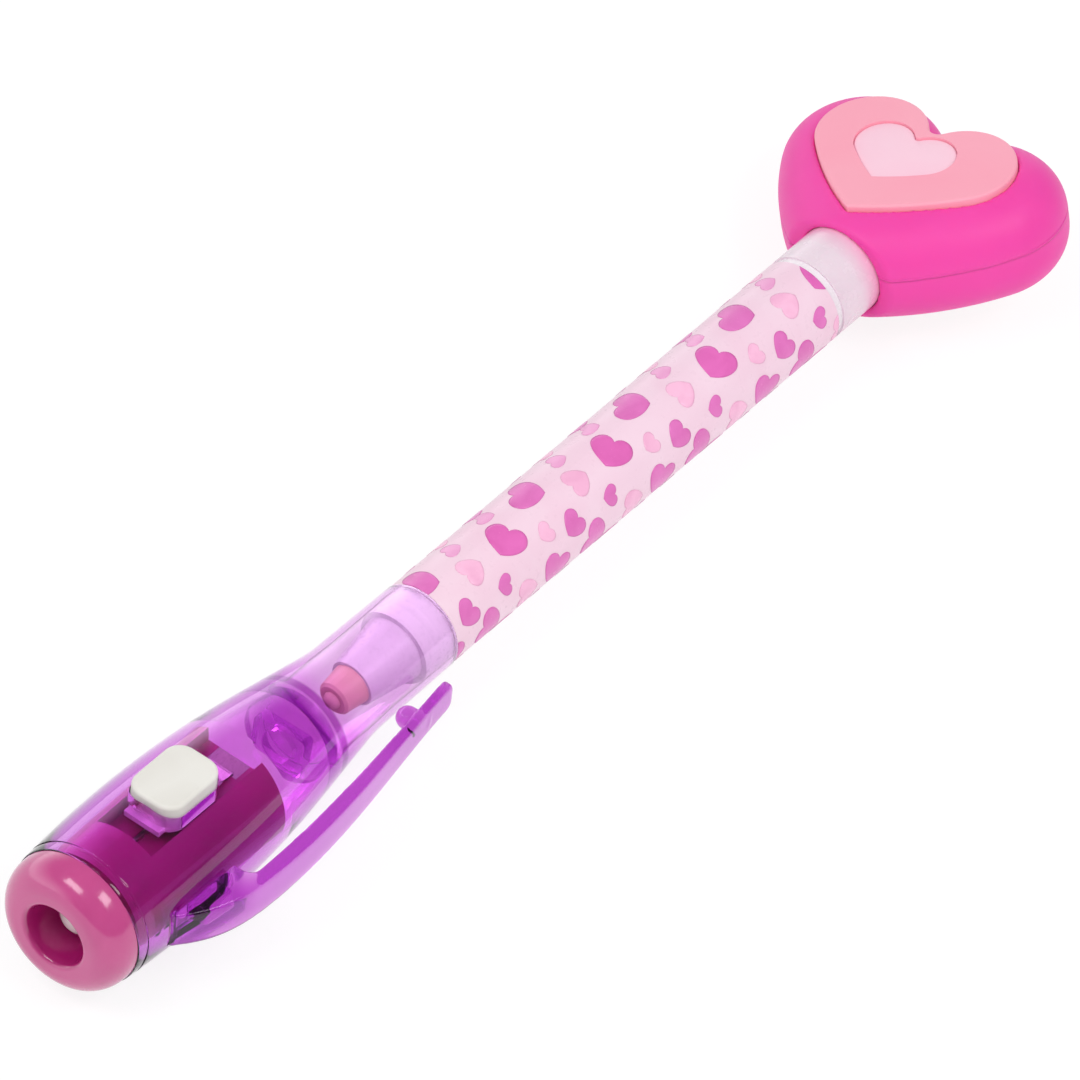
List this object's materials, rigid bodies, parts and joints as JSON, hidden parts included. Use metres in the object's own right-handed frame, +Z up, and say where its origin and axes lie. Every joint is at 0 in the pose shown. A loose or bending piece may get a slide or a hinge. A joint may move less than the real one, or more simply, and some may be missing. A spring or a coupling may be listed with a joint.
{
  "type": "invisible ink pen with lamp cap and heart end",
  "caption": "Invisible-ink felt pen with a push-fit clear cap that holds a button-switched ultraviolet lamp, a pocket clip, and a soft heart on the barrel's end.",
  "frame": {"origin": "on the pen's axis, at the barrel's front end, where the cap's mouth meets it", "axes": "+X along the pen's axis towards the heart, +Z up through the cap's button, -Y towards the pocket clip"},
  "size_m": [0.1527, 0.0328, 0.0187],
  "materials": {
    "barrel_white": "smooth",
    "print_pink": "smooth, printed with scattered hearts",
    "section_white": "smooth",
    "coral": "smooth",
    "felt": "felt",
    "fibre": "bonded fibre",
    "collar_pale": "smooth, slightly clear",
    "heart_pink": "soft satin",
    "heart_salmon": "soft satin",
    "heart_pale": "soft satin",
    "shell_purple": "clear, tinted",
    "bezel_rose": "polished",
    "lamp_clear": "clear",
    "carrier_plum": "clear, tinted",
    "cell_steel": "bright",
    "wire_steel": "bright",
    "contact_brass": "bright",
    "button_white": "satin"
  },
  "bodies": {
    "pen": {"barrel_tube": "barrel_white", "printed_sleeve": "print_pink", "nib_section": "section_white", "nib_holder": "coral", "felt_nib": "felt", "ink_reservoir": "fibre", "end_plug": "collar_pale", "heart_body": "heart_pink", "front_raised_heart": "heart_salmon", "front_inlay_heart": "heart_pale", "back_raised_heart": "heart_salmon", "back_inlay_heart": "heart_pale"},
    "cap": {"cap_shell": "shell_purple"},
    "lamp_module": {"lamp_bezel": "bezel_rose", "uv_lamp": "lamp_clear", "battery_carrier": "carrier_plum", "button_cell_1": "cell_steel", "button_cell_2": "cell_steel", "button_cell_3": "cell_steel", "anode_lead": "wire_steel", "cathode_lead": "wire_steel", "battery_spring": "wire_steel", "contact_plate": "contact_brass"},
    "button": {"switch_button": "button_white"},
    "leaf": {"switch_leaf": "wire_steel"},
    "clip": {"pocket_clip": "shell_purple"}
  },
  "joints": [
    {"name": "cap_pull", "type": "slide", "parent": "pen", "child": "cap", "axis": [-1, 0, 0], "range_m": [0, 0.04]},
    {"name": "lamp_module_pull", "type": "slide", "parent": "cap", "child": "lamp_module", "axis": [-1, 0, 0], "range_m": [0, 0.03]},
    {"name": "button_press", "type": "slide", "parent": "cap", "child": "button", "axis": [0, 0, -1], "range_m": [0, 0.0008], "stiffness_N_per_m": 1500},
    {"name": "leaf_turn", "type": "hinge", "parent": "lamp_module", "child": "leaf", "pos_m": [-0.0334, 0, 0.00435], "axis": [0, -1, 0], "range_deg": [0, 5.3]},
    {"name": "clip_flex", "type": "hinge", "parent": "cap", "child": "clip", "pos_m": [-0.0506, -0.00817, 0], "axis": [0, 0, -1], "range_deg": [0, 4], "stiffness_Nm_per_rad": 1}
  ],
  "couplings": [
    {"joint": "leaf_turn", "follows": "button_press", "rad_per_m": 115.4}
  ]
}
